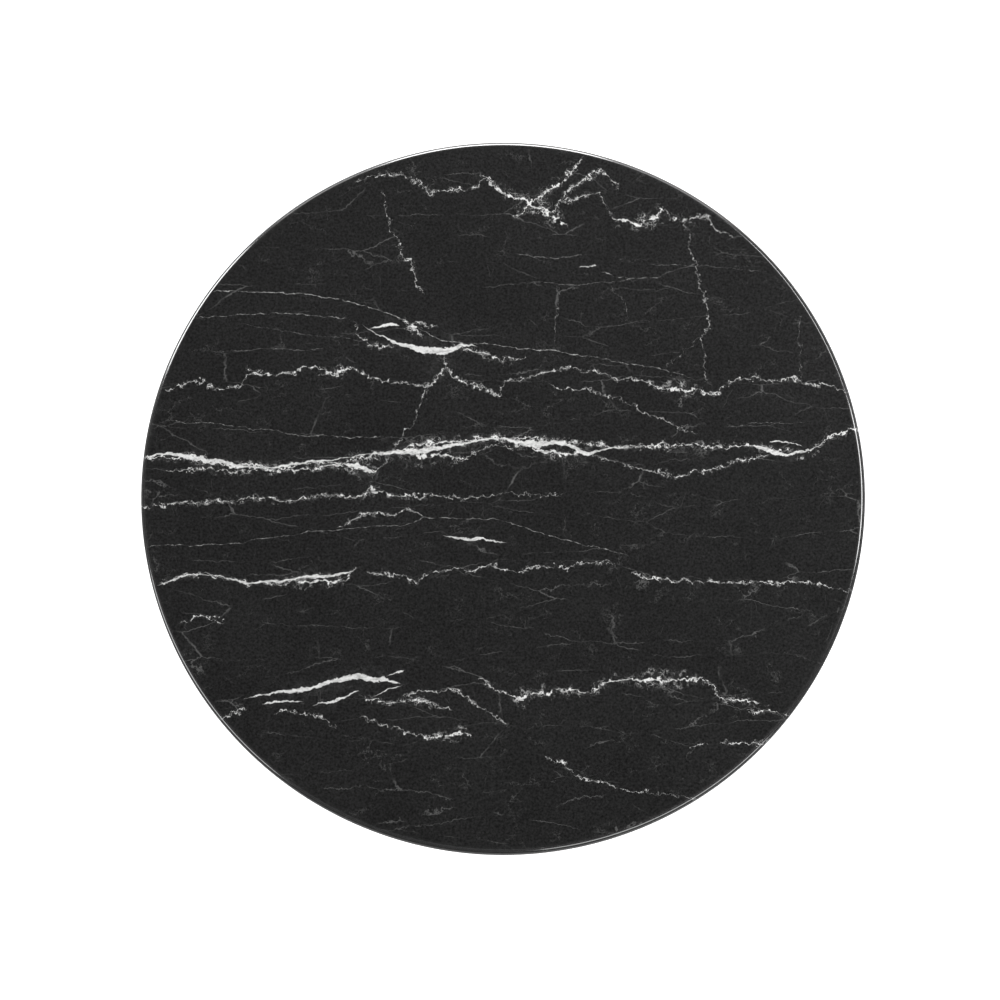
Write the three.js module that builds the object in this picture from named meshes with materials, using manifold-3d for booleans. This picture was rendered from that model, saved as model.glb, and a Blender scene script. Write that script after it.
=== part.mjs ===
// Round pedestal table: a marble-faced disc top on a black trumpet pedestal with levelling feet.
// Millimetres, +Z up. The origin is on the floor, on the pedestal's axis.
//
// A threaded tie rod runs up the column from the hub on the base plate to a nut above the
// mounting plate and clamps the pedestal together. The top is bolted to the mounting plate.

import * as THREE from "three";
import { mergeVertices } from "three/addons/utils/BufferGeometryUtils.js";
import Module from "manifold-3d";

const wasm = await Module();
wasm.setup();

// ---------------------------------------------------------------- driving dimensions

const TABLE_HEIGHT = 749;
const FIT = 0.3; // clearance between round pieces that fit one in the other

// Sides of the round pieces
const TOP_SEGMENTS = 48;
const PEDESTAL_SEGMENTS = 32;
const SMALL_SEGMENTS = 16; // foot pads, the washer and the nut's pocket
const SCREW_SEGMENTS = 12; // screws, studs and their holes
const THROUGH = 1; // how far a cutter runs past the face that it cuts

// Top: a board core in a formed marble skin
const TOP_RADIUS = 457;
const TOP_THICKNESS = 25;
const SKIN = 2;
const EDGE_ROUND = 8; // upper edge
const ARRIS_ROUND = 3; // lower edge
const SKIN_RETURN = 14; // how far the skin turns in under the board
const BACKER = 1;

// Mounting plate, bolted up into threaded inserts in the core
const PLATE_RADIUS = 150;
const PLATE_THICKNESS = 5;
const PLATE_BOLTS = 6;
const PLATE_BOLT_CIRCLE = 122; // radius
const M6 = 3; // thread radius
const BUTTON_RADIUS = 5.5; // the bolts' domed heads
const BUTTON_HEIGHT = 3.5;
const BUTTON_ROUND = 2.5;
const BUTTON_SOCKET = 4; // across flats
const BUTTON_SOCKET_DEPTH = 2.1;
const BOLT_TO_INSERT_END = 4; // how far a bolt stops short of its insert's far end
const INSERT_RADIUS = 5;
const INSERT_LENGTH = 13;
const LOCATOR_WALL = 5.7; // the ring under the plate that enters the column
const LOCATOR_DEPTH = 14;

// Column and tie rod
const COLUMN_RADIUS = 40;
const COLUMN_WALL = 2.8;
const M12 = 6;
const ROD_BOTTOM = 22;
const ROD_PAST_NUT = 2;
const END_CHAMFER = 1; // on the tie rod's and the studs' ends
const WASHER_RADIUS = 15;
const WASHER_THICKNESS = 2.5;
const ROD_NUT_WIDTH = 19; // across flats
const ROD_NUT_HEIGHT = 10;
const NUT_POCKET = 24; // radius of the recess in the core over the tie-rod nut
const NUT_POCKET_DEPTH = 15;

// Trumpet covers, spun sheet
const SHEET = 2;
const NECK_RADIUS = 46;
const NECK_LENGTH = 12; // the straight end that a collar goes over
const BASE_RADIUS = 280;
const SKIRT_BOTTOM = 8;
const SKIRT_CORNER = 8;
const SHOULDER_HEIGHT = 38; // where the base cover's skirt turns into its sweep
const BASE_NECK_HEIGHT = 190;
const UPPER_RIM_RADIUS = 100;
const UPPER_NECK_HEIGHT = 628;
const SWEEP_POWER = 2.3; // 2 is a quarter ellipse; more hugs the column and the floor

// Collars that close the covers on the column
const COLLAR_RADIUS = 53;
const COLLAR_HEIGHT = 24;
const COLLAR_OVERLAP = 8; // how far a collar reaches over a neck
const COLLAR_ROUND = 5;
const M5 = 2.5;
const GRUB_SOCKET = 1.3; // radius
const GRUB_SOCKET_DEPTH = 3;
const GRUB_SUNK = 1; // how far below the collar's face the screw ends

// Base plate and what stands on it
const BASE_PLATE_RADIUS = 268;
const BASE_PLATE_BOTTOM = 13;
const BASE_PLATE_THICKNESS = 4;
const SEAL_LAP = 6; // how far the rim seal's channel reaches in over the plate
const SEAL_UNDER = 3;
const SEAL_TO_SKIRT = 1.5;
const SEAL_TO_SHOULDER = 2;
const SEAL_SLOPE = 5;
const HUB_FLANGE = 12;
const HUB_BOSS_RADIUS = 16;
const HUB_BOSS_TOP = 52;
const HUB_SCREW_CIRCLE = 26;
const BALLAST_INNER = 110;
const BALLAST_OUTER = 198;
const BALLAST_CLEARANCE = 6;
const BALLAST_BOLT_CIRCLE = 150;
const M8 = 4;
const PLATE_SCREW_LENGTH = 15;
const PLATE_SCREW_HEAD = 3.5; // height of its 45 degree head
const PLATE_SCREW_SOCKET = 5; // across flats
const PLATE_SCREW_SOCKET_DEPTH = 2.5;

// Levelling feet: a swivel pad on a threaded stud in a nut welded to the base plate
const FEET = 4;
const FOOT_CIRCLE = 215;
const PAD_RADIUS = 18;
const PAD_HEIGHT = 7.5;
const PAD_EDGE = 1.5; // chamfer under the pad's edge
const PAD_WALL_TOP = 3.5; // where the pad's side turns into its slope
const PAD_LIP = 0.8; // gap round the stud in the pad's mouth
const PAD_LIP_WIDTH = 3;
const STUD_DISC_RADIUS = 6; // the disc that turns in the pad
const STUD_DISC_BOTTOM = 2.6;
const STUD_DISC_TOP = 5.6;
const STUD_TOP = 36;
const STUD_HEX = 13; // across flats
const STUD_HEX_HEIGHT = 4.5;
const WELD_NUT_WIDTH = 14;
const WELD_NUT_HEIGHT = 7;

// ---------------------------------------------------------------- sizes that follow

const TOP_UNDERSIDE = TABLE_HEIGHT - TOP_THICKNESS;
const PLATE_UNDERSIDE = TOP_UNDERSIDE - PLATE_THICKNESS;
const BASE_PLATE_TOP = BASE_PLATE_BOTTOM + BASE_PLATE_THICKNESS;
const COLUMN_BORE = COLUMN_RADIUS - COLUMN_WALL;
const BACKER_TOP = TOP_UNDERSIDE + BACKER;
const BACKER_RADIUS = TOP_RADIUS - SKIN_RETURN - FIT;
const INSERT_TOP = BACKER_TOP + INSERT_LENGTH;
const WASHER_TOP = TOP_UNDERSIDE + WASHER_THICKNESS;
const ROD_NUT_TOP = WASHER_TOP + ROD_NUT_HEIGHT;

// ---------------------------------------------------------------- finishes

function finish(colour, roughness, metalness) {
  return new THREE.MeshStandardMaterial({ color: colour, roughness, metalness });
}

const MARBLE = finish(0x262626, 0.25, 0);
const BOARD = finish(0x8a6d4b, 0.9, 0);
const LAMINATE = finish(0x1c1c1c, 0.6, 0);
const BLACK_COAT = finish(0x17181a, 0.45, 0.4);
const ZINC = finish(0xa9adb0, 0.35, 1);
const BRASS = finish(0xb08d45, 0.35, 1);
const CAST_IRON = finish(0x3a3b3d, 0.75, 0.7);
const RUBBER = finish(0x161616, 0.85, 0);
const NYLON = finish(0x202122, 0.6, 0);

// ---------------------------------------------------------------- shape helpers

// A solid of revolution about Z. The profile is [radius, height] pairs, anticlockwise, that
// starts and ends on the axis, or closes on itself.
function turned(profile, segments) {
  const onAxis = profile[0][0] === 0;
  const points = (onAxis ? profile : [...profile, profile[0]]).map(([r, z]) => new THREE.Vector2(r, z));
  return new THREE.LatheGeometry(points, segments).rotateX(Math.PI / 2);
}

function ring(inner, outer, bottom, top, segments) {
  return turned([[inner, bottom], [outer, bottom], [outer, top], [inner, top]], segments);
}

function disc(radius, bottom, top, segments) {
  return turned([[0, bottom], [radius, bottom], [radius, top], [0, top]], segments);
}

// A round cutter that runs past both ends of the hole that it makes.
function hole(radius, bottom, top) {
  return disc(radius, bottom - THROUGH, top + THROUGH, SCREW_SEGMENTS);
}

// Points of an arc in the profile plane, from one angle to another, in degrees.
function arc(centreR, centreZ, radius, from, to, steps) {
  return Array.from({ length: steps + 1 }, (_, i) => {
    const a = THREE.MathUtils.degToRad(from + ((to - from) * i) / steps);
    return [centreR + radius * Math.cos(a), centreZ + radius * Math.sin(a)];
  });
}

// A trumpet's sweep from its rim to its neck: a quarter of a superellipse, upright at the neck
// and flat at the rim, and then the straight neck.
function sweep(rimRadius, rimHeight, neckRadius, neckHeight, steps) {
  const power = 2 / SWEEP_POWER;
  const sweepTop = neckHeight - NECK_LENGTH;
  const curve = Array.from({ length: steps + 1 }, (_, i) => {
    const a = (Math.PI / 2) * (1 - i / steps);
    return [
      rimRadius - (rimRadius - neckRadius) * Math.max(Math.cos(a), 0) ** power,
      sweepTop - (sweepTop - rimHeight) * Math.sin(a) ** power,
    ];
  });
  return [...curve, [neckRadius, neckHeight]];
}

// The same line moved sideways, to its left as it runs.
function offset(line, distance) {
  return line.map((_, i) => {
    const [r0, z0] = line[Math.max(i - 1, 0)];
    const [r1, z1] = line[Math.min(i + 1, line.length - 1)];
    const length = Math.hypot(r1 - r0, z1 - z0);
    const [r, z] = line[i];
    return [r - (distance * (z1 - z0)) / length, z + (distance * (r1 - r0)) / length];
  });
}

function hexagon(acrossFlats, bottom, top) {
  const corner = acrossFlats / Math.sqrt(3);
  const outline = Array.from({ length: 6 }, (_, i) => {
    const a = (i * Math.PI) / 3;
    return new THREE.Vector2(corner * Math.cos(a), corner * Math.sin(a));
  });
  const options = { depth: top - bottom, bevelEnabled: false };
  return new THREE.ExtrudeGeometry(new THREE.Shape(outline), options).translate(0, 0, bottom);
}

function solid(shape) {
  const plain = shape.clone();
  plain.deleteAttribute("normal");
  plain.deleteAttribute("uv");
  const merged = mergeVertices(plain, 1e-4);
  return new wasm.Manifold(
    new wasm.Mesh({
      numProp: 3,
      vertProperties: new Float32Array(merged.attributes.position.array),
      triVerts: new Uint32Array(merged.index.array),
    }),
  );
}

function geometry(manifold) {
  const mesh = manifold.getMesh();
  return new THREE.BufferGeometry()
    .setAttribute("position", new THREE.BufferAttribute(mesh.vertProperties, 3))
    .setIndex(new THREE.BufferAttribute(mesh.triVerts, 1));
}

// The body with each cutter taken out of it.
function cut(body, ...cutters) {
  return geometry(cutters.reduce((left, cutter) => left.subtract(solid(cutter)), solid(body)));
}

function joined(first, second) {
  return geometry(solid(first).add(solid(second)));
}

// Places evenly spaced on a circle: [x, y] pairs.
function around(count, radius, firstDegrees = 0) {
  return Array.from({ length: count }, (_, i) => {
    const a = THREE.MathUtils.degToRad(firstDegrees + (360 * i) / count);
    return [radius * Math.cos(a), radius * Math.sin(a)];
  });
}

function moved(shape, [x, y]) {
  return shape.clone().translate(x, y, 0);
}

const table = new THREE.Group();

function add(name, shape, material, parent = table) {
  const mesh = new THREE.Mesh(shape, material);
  mesh.name = name;
  parent.add(mesh);
}

// One named copy of a piece at each place.
function addCopies(name, shape, material, places) {
  places.forEach(([x, y], i) => {
    const place = new THREE.Group();
    place.position.set(x, y, 0);
    add(`${name}_${i + 1}`, shape, material, place);
    table.add(place);
  });
}

// ---------------------------------------------------------------- places of the fasteners

const BOLT_PLACES = around(PLATE_BOLTS, PLATE_BOLT_CIRCLE);
const HUB_SCREW_PLACES = around(3, HUB_SCREW_CIRCLE, 90);
const BALLAST_BOLT_PLACES = around(3, BALLAST_BOLT_CIRCLE, 30);
const FOOT_PLACES = around(FEET, FOOT_CIRCLE, 45);

// ---------------------------------------------------------------- top

// The outside of the top from the underside to the upper face, moved in by an inset.
function topEdge(inset) {
  const radius = TOP_RADIUS - inset;
  const lower = ARRIS_ROUND - inset;
  const upper = EDGE_ROUND - inset;
  return [
    ...arc(radius - lower, TOP_UNDERSIDE + inset + lower, lower, -90, 0, 1),
    ...arc(radius - upper, TABLE_HEIGHT - inset - upper, upper, 0, 90, 3),
  ];
}

function marbleSkin() {
  const returnEdge = TOP_RADIUS - SKIN_RETURN;
  return turned(
    [
      [0, TABLE_HEIGHT - SKIN],
      ...topEdge(SKIN).reverse(),
      [returnEdge, TOP_UNDERSIDE + SKIN],
      [returnEdge, TOP_UNDERSIDE],
      ...topEdge(0),
      [0, TABLE_HEIGHT],
    ],
    TOP_SEGMENTS,
  );
}

function tabletopCore() {
  const gap = SKIN + FIT;
  const board = turned(
    [
      [0, BACKER_TOP],
      [BACKER_RADIUS, BACKER_TOP],
      [BACKER_RADIUS, TOP_UNDERSIDE + gap],
      ...topEdge(gap),
      [0, TABLE_HEIGHT - gap],
    ],
    TOP_SEGMENTS,
  );
  const pocket = disc(NUT_POCKET, BACKER_TOP - THROUGH, BACKER_TOP + NUT_POCKET_DEPTH, SMALL_SEGMENTS);
  const insertHole = hole(INSERT_RADIUS + FIT, BACKER_TOP, INSERT_TOP);
  return cut(board, pocket, ...BOLT_PLACES.map((place) => moved(insertHole, place)));
}

function backerSheet() {
  const sheet = ring(NUT_POCKET, BACKER_RADIUS, TOP_UNDERSIDE, BACKER_TOP, TOP_SEGMENTS);
  const boltHole = hole(M6 + FIT, TOP_UNDERSIDE, BACKER_TOP);
  return cut(sheet, ...BOLT_PLACES.map((place) => moved(boltHole, place)));
}

add("marble_skin", marbleSkin(), MARBLE);
add("tabletop_core", tabletopCore(), BOARD);
add("backer_sheet", backerSheet(), LAMINATE);

// ---------------------------------------------------------------- mounting plate

function mountingPlate() {
  const plate = ring(M12 + FIT, PLATE_RADIUS, PLATE_UNDERSIDE, TOP_UNDERSIDE, PEDESTAL_SEGMENTS);
  const locator = ring(
    COLUMN_BORE - FIT - LOCATOR_WALL,
    COLUMN_BORE - FIT,
    PLATE_UNDERSIDE - LOCATOR_DEPTH,
    PLATE_UNDERSIDE + THROUGH,
    PEDESTAL_SEGMENTS,
  );
  const boltHole = hole(M6 + FIT, PLATE_UNDERSIDE, TOP_UNDERSIDE);
  return cut(joined(plate, locator), ...BOLT_PLACES.map((place) => moved(boltHole, place)));
}

// A button-head bolt, head down, with a hexagonal socket in its head.
function plateBolt() {
  const face = PLATE_UNDERSIDE - BUTTON_HEIGHT;
  const tip = INSERT_TOP - BOLT_TO_INSERT_END;
  const body = turned(
    [
      [0, face],
      ...arc(BUTTON_RADIUS - BUTTON_ROUND, face + BUTTON_ROUND, BUTTON_ROUND, -90, 0, 2),
      [BUTTON_RADIUS, PLATE_UNDERSIDE],
      [M6, PLATE_UNDERSIDE],
      [M6, tip],
      [0, tip],
    ],
    SCREW_SEGMENTS,
  );
  return cut(body, hexagon(BUTTON_SOCKET, face - THROUGH, face + BUTTON_SOCKET_DEPTH));
}

const threadedInsert = ring(M6 + FIT, INSERT_RADIUS, BACKER_TOP, INSERT_TOP, SCREW_SEGMENTS);

add("mounting_plate", mountingPlate(), BLACK_COAT);
addCopies("plate_bolt", plateBolt(), ZINC, BOLT_PLACES);
addCopies("threaded_insert", threadedInsert, BRASS, BOLT_PLACES);

// ---------------------------------------------------------------- column and tie rod

function tieRod() {
  const top = ROD_NUT_TOP + ROD_PAST_NUT;
  return turned(
    [
      [0, ROD_BOTTOM],
      [M12 - END_CHAMFER, ROD_BOTTOM],
      [M12, ROD_BOTTOM + END_CHAMFER],
      [M12, top - END_CHAMFER],
      [M12 - END_CHAMFER, top],
      [0, top],
    ],
    SCREW_SEGMENTS,
  );
}

const column = ring(COLUMN_BORE, COLUMN_RADIUS, BASE_PLATE_TOP, PLATE_UNDERSIDE, PEDESTAL_SEGMENTS);
const washer = ring(M12 + FIT, WASHER_RADIUS, TOP_UNDERSIDE, WASHER_TOP, SMALL_SEGMENTS);
const rodHole = hole(M12 + FIT, WASHER_TOP, ROD_NUT_TOP);

add("column_tube", column, BLACK_COAT);
add("tie_rod", tieRod(), ZINC);
add("tie_rod_washer", washer, ZINC);
add("tie_rod_nut", cut(hexagon(ROD_NUT_WIDTH, WASHER_TOP, ROD_NUT_TOP), rodHole), ZINC);

// ---------------------------------------------------------------- trumpet covers

// The base cover's outside from its lower edge, up the skirt and along the sweep to its neck.
const baseOutside = [
  [BASE_RADIUS, SKIRT_BOTTOM],
  ...arc(BASE_RADIUS - SKIRT_CORNER, SHOULDER_HEIGHT - SKIRT_CORNER, SKIRT_CORNER, 0, 75, 2),
  ...sweep(BASE_RADIUS - SKIRT_CORNER, SHOULDER_HEIGHT, NECK_RADIUS, BASE_NECK_HEIGHT, 8).slice(1),
];

// The upper cover's outside is the same kind of sweep turned over, its rim just under the plate.
const upperOutside = sweep(
  UPPER_RIM_RADIUS,
  -(PLATE_UNDERSIDE - FIT - SHEET),
  NECK_RADIUS,
  -UPPER_NECK_HEIGHT,
  7,
).map(([r, z]) => [r, -z]);

const baseInside = offset(baseOutside, SHEET);
const baseCover = turned([...baseOutside, ...baseInside.reverse()], PEDESTAL_SEGMENTS);
const upperInside = offset(upperOutside, -SHEET);
const upperCover = turned([...upperInside, ...upperOutside.reverse()], PEDESTAL_SEGMENTS);

// A collar's ring stands at the bottom of its group and opens downwards over a neck.
function collar() {
  const top = COLLAR_HEIGHT;
  const lipBore = NECK_RADIUS + FIT;
  const body = turned(
    [
      [lipBore, 0],
      [COLLAR_RADIUS, 0],
      ...arc(COLLAR_RADIUS - COLLAR_ROUND, top - COLLAR_ROUND, COLLAR_ROUND, 0, 90, 2),
      [COLUMN_RADIUS + FIT, top],
      [COLUMN_RADIUS + FIT, COLLAR_OVERLAP + FIT],
      [lipBore, COLLAR_OVERLAP + FIT],
    ],
    PEDESTAL_SEGMENTS,
  );
  return cut(body, sideways(M5 + FIT, COLUMN_RADIUS - THROUGH, COLLAR_RADIUS + THROUGH));
}

// A round bar that points out of the collar along +Y, half way up its solid part.
function sideways(radius, from, to) {
  const height = (COLLAR_OVERLAP + COLLAR_HEIGHT) / 2;
  return disc(radius, from, to, SCREW_SEGMENTS).rotateX(-Math.PI / 2).translate(0, 0, height);
}

function grubScrew() {
  const face = COLLAR_RADIUS - GRUB_SUNK;
  const socket = sideways(GRUB_SOCKET, face - GRUB_SOCKET_DEPTH, face + THROUGH);
  return cut(sideways(M5, COLUMN_RADIUS + FIT, face), socket);
}

function addCollar(side, height, upsideDown) {
  const place = new THREE.Group();
  place.position.z = height;
  place.rotation.y = upsideDown ? Math.PI : 0;
  add(`${side}_collar`, collar(), BLACK_COAT, place);
  add(`${side}_collar_screw`, grubScrew(), ZINC, place);
  table.add(place);
}

add("base_cover", baseCover, BLACK_COAT);
add("upper_cover", upperCover, BLACK_COAT);
addCollar("lower", BASE_NECK_HEIGHT - COLLAR_OVERLAP, false);
addCollar("upper", UPPER_NECK_HEIGHT + COLLAR_OVERLAP, true);

// ---------------------------------------------------------------- base

// A countersunk screw, its head flush in the underside of the base plate. The cutter for its hole
// has clearance all round and goes on past the plate's face.
function countersunk(clearance, past) {
  const thread = M8 + clearance;
  const head = BASE_PLATE_BOTTOM - past;
  const tip = BASE_PLATE_BOTTOM + PLATE_SCREW_LENGTH + clearance;
  return turned(
    [
      [0, head],
      [thread + PLATE_SCREW_HEAD + past, head],
      [thread, BASE_PLATE_BOTTOM + PLATE_SCREW_HEAD],
      [thread, tip],
      [0, tip],
    ],
    SCREW_SEGMENTS,
  );
}

const screwHole = countersunk(FIT, THROUGH);
const screwSocket = hexagon(
  PLATE_SCREW_SOCKET,
  BASE_PLATE_BOTTOM - THROUGH,
  BASE_PLATE_BOTTOM + PLATE_SCREW_SOCKET_DEPTH,
);
const plateScrew = cut(countersunk(0, 0), screwSocket);
const studHole = hole(M8 + FIT, BASE_PLATE_BOTTOM, BASE_PLATE_TOP + WELD_NUT_HEIGHT);

function basePlate() {
  const plate = disc(BASE_PLATE_RADIUS, BASE_PLATE_BOTTOM, BASE_PLATE_TOP, PEDESTAL_SEGMENTS);
  const screwPlaces = [...HUB_SCREW_PLACES, ...BALLAST_BOLT_PLACES];
  const screwHoles = screwPlaces.map((place) => moved(screwHole, place));
  const studHoles = FOOT_PLACES.map((place) => moved(studHole, place));
  return cut(plate, ...screwHoles, ...studHoles);
}

function baseHub() {
  const body = turned(
    [
      [M12 + FIT, BASE_PLATE_TOP],
      [COLUMN_BORE - FIT, BASE_PLATE_TOP],
      [COLUMN_BORE - FIT, BASE_PLATE_TOP + HUB_FLANGE],
      [HUB_BOSS_RADIUS, BASE_PLATE_TOP + HUB_FLANGE],
      [HUB_BOSS_RADIUS, HUB_BOSS_TOP],
      [M12 + FIT, HUB_BOSS_TOP],
    ],
    PEDESTAL_SEGMENTS,
  );
  return cut(body, ...HUB_SCREW_PLACES.map((place) => moved(screwHole, place)));
}

// A cast ring whose top follows the inside of the base cover, with a flat at each edge.
function ballastRing() {
  const inside = offset(baseOutside, SHEET + BALLAST_CLEARANCE);
  const under = inside.filter(([r]) => r > BALLAST_INNER && r < BALLAST_OUTER);
  const [, outerHeight] = under[0];
  const [, innerHeight] = under.at(-1);
  const body = turned(
    [
      [BALLAST_INNER, BASE_PLATE_TOP],
      [BALLAST_OUTER, BASE_PLATE_TOP],
      [BALLAST_OUTER, outerHeight],
      ...under,
      [BALLAST_INNER, innerHeight],
    ],
    PEDESTAL_SEGMENTS,
  );
  return cut(body, ...BALLAST_BOLT_PLACES.map((place) => moved(screwHole, place)));
}

// A channel pushed over the base plate's edge. The base cover sits on it.
function rimSeal() {
  const inner = BASE_PLATE_RADIUS - SEAL_LAP;
  const outer = BASE_RADIUS - SHEET - SEAL_TO_SKIRT;
  const bottom = BASE_PLATE_BOTTOM - SEAL_UNDER;
  const top = SHOULDER_HEIGHT - SHEET - SEAL_TO_SHOULDER;
  return turned(
    [
      [inner, bottom],
      [outer, bottom],
      [outer, SHOULDER_HEIGHT - SHEET - SKIRT_CORNER],
      [outer - SEAL_SLOPE, top],
      [inner, top],
      [inner, BASE_PLATE_TOP + FIT],
      [BASE_PLATE_RADIUS + FIT, BASE_PLATE_TOP + FIT],
      [BASE_PLATE_RADIUS + FIT, BASE_PLATE_BOTTOM - FIT],
      [inner, BASE_PLATE_BOTTOM - FIT],
    ],
    PEDESTAL_SEGMENTS,
  );
}

add("base_plate", basePlate(), BLACK_COAT);
add("base_hub", baseHub(), CAST_IRON);
add("ballast_ring", ballastRing(), CAST_IRON);
add("rim_seal", rimSeal(), RUBBER);
addCopies("hub_screw", plateScrew, ZINC, HUB_SCREW_PLACES);
addCopies("ballast_bolt", plateScrew, ZINC, BALLAST_BOLT_PLACES);

// ---------------------------------------------------------------- levelling feet

// The pad holds the stud's disc in a socket with a lip, so that the stud turns in it.
function footPad() {
  const mouth = M8 + PAD_LIP;
  const socket = STUD_DISC_RADIUS + FIT;
  return turned(
    [
      [0, 0],
      [PAD_RADIUS - PAD_EDGE, 0],
      [PAD_RADIUS, PAD_EDGE],
      [PAD_RADIUS, PAD_WALL_TOP],
      [mouth + PAD_LIP_WIDTH, PAD_HEIGHT],
      [mouth, PAD_HEIGHT],
      [mouth, STUD_DISC_TOP + FIT],
      [socket, STUD_DISC_TOP + FIT],
      [socket, STUD_DISC_BOTTOM - FIT],
      [0, STUD_DISC_BOTTOM - FIT],
    ],
    SMALL_SEGMENTS,
  );
}

// The stud's hexagon stops against the underside of the base plate.
function footStud() {
  const shank = turned(
    [
      [0, STUD_DISC_BOTTOM],
      [STUD_DISC_RADIUS, STUD_DISC_BOTTOM],
      [STUD_DISC_RADIUS, STUD_DISC_TOP],
      [M8, STUD_DISC_TOP],
      [M8, STUD_TOP - END_CHAMFER],
      [M8 - END_CHAMFER, STUD_TOP],
      [0, STUD_TOP],
    ],
    SCREW_SEGMENTS,
  );
  return joined(shank, hexagon(STUD_HEX, BASE_PLATE_BOTTOM - STUD_HEX_HEIGHT, BASE_PLATE_BOTTOM));
}

const weldNutBlank = hexagon(WELD_NUT_WIDTH, BASE_PLATE_TOP, BASE_PLATE_TOP + WELD_NUT_HEIGHT);
const weldNut = cut(weldNutBlank, studHole);

addCopies("weld_nut", weldNut, ZINC, FOOT_PLACES);
addCopies("foot_stud", footStud(), ZINC, FOOT_PLACES);
addCopies("foot_pad", footPad(), NYLON, FOOT_PLACES);

export default table;
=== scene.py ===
"""A round pedestal table: black veined marble skin on a black powder-coated trumpet pedestal.

Lengths are in millimetres until a piece is finished, when its mesh is scaled to metres. Radii,
heights and places are read from the frame, and the constants below are what the frame doesn't say.
"""

import math

import bmesh
import bpy
from mathutils import Matrix, Vector


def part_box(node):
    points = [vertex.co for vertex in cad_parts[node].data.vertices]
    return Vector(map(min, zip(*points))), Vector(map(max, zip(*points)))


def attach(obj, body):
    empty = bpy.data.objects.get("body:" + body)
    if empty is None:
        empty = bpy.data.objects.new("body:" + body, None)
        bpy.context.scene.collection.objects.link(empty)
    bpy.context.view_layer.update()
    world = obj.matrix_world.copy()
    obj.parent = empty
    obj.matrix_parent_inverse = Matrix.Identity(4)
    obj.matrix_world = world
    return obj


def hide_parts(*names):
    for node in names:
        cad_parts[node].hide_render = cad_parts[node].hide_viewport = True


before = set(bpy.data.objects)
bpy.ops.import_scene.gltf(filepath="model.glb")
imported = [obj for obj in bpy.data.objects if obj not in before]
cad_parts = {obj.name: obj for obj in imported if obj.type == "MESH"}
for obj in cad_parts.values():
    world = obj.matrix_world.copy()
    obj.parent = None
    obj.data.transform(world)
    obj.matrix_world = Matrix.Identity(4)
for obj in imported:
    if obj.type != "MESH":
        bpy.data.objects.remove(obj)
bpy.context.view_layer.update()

METRES = 0.001

# ---------------------------------------------------------------- sizes, in millimetres

FIT = 0.3  # clearance between pieces that fit one in the other
SHEET = 2  # thickness of the spun covers and of the marble skin
EDGE_ROUND = 8  # the top's upper edge
ARRIS_ROUND = 3  # the top's lower edge
SKIN_RETURN = 14  # how far the marble skin turns in under the board
NUT_POCKET = 24
TUBE_WALL = 2.8
SKIRT_CORNER = 8
SHOULDER_HEIGHT = 38
NECK_RADIUS = 46
NECK_LENGTH = 12
SWEEP_POWER = 2.3
COLLAR_OVERLAP = 8
COLLAR_ROUND = 5
PLATE_THICKNESS = 5
ROD_HOLE = 6.3  # radius, in the mounting plate
BUTTON_HEAD_HEIGHT = 3.5
BUTTON_SOCKET = 2.3  # radius of the ring that becomes the hexagon, as for the next one
COUNTERSUNK_SOCKET = 2.9
SCREW_SHANK = 4  # radius
SUNK_HEAD = 7.5  # radius
SUNK_DEPTH = 3.5
GRUB_HOLE = 2.8  # radius
GRUB_SOCKET = 1.4  # radius
CHANNEL_DEPTH = 6  # how far the rim seal reaches in over the base plate
STUD_RADIUS = 4
STUD_DISC_RADIUS = 6
STUD_HEXAGON = 7.6  # radius of the ring that becomes the hexagon
THREAD_ROOT = 3.4  # radius
THREAD_PITCH = 1.25
PAD_LIP = 4.8  # radius of the hole in a pad's top

ROUND_STEPS = 192
TOP_STEPS = 256
SMALL_STEPS = 48
TINY_STEPS = 24
SHARP_ANGLE = math.radians(32)  # edges that turn by more than this stay sharp in the shading


def reach(node):
    """(radius, lowest height, highest height) of a node that is centred on the pedestal's axis."""
    low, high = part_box(node)
    return high.x / METRES, low.z / METRES, high.z / METRES


def place(node):
    """(x, y) of the middle of a node, and its lowest and highest height."""
    low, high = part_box(node)
    middle = (low + high) / 2 / METRES
    return middle.x, middle.y, low.z / METRES, high.z / METRES


# ---------------------------------------------------------------- shape helpers


def arc(centre_r, centre_z, radius, start, end, steps):
    """Points of an arc in the profile plane, between two angles in degrees."""
    angles = [math.radians(start + (end - start) * i / steps) for i in range(steps + 1)]
    return [(centre_r + radius * math.cos(a), centre_z + radius * math.sin(a)) for a in angles]


def sweep(rim_radius, rim_height, neck_height, steps):
    """A trumpet's sweep from its rim to its neck, and then the straight neck."""
    power = 2 / SWEEP_POWER
    top = neck_height - NECK_LENGTH
    line = []
    for i in range(steps + 1):
        a = math.pi / 2 * (1 - i / steps)
        r = rim_radius - (rim_radius - NECK_RADIUS) * max(math.cos(a), 0) ** power
        line.append((r, top - (top - rim_height) * math.sin(a) ** power))
    return [*line, (NECK_RADIUS, neck_height)]


def offset(line, distance):
    """The line moved sideways, to its left as it runs."""
    moved = []
    for i, (r, z) in enumerate(line):
        r0, z0 = line[max(i - 1, 0)]
        r1, z1 = line[min(i + 1, len(line) - 1)]
        length = math.hypot(r1 - r0, z1 - z0)
        moved.append((r - distance * (z1 - z0) / length, z + distance * (r1 - r0) / length))
    return moved


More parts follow.
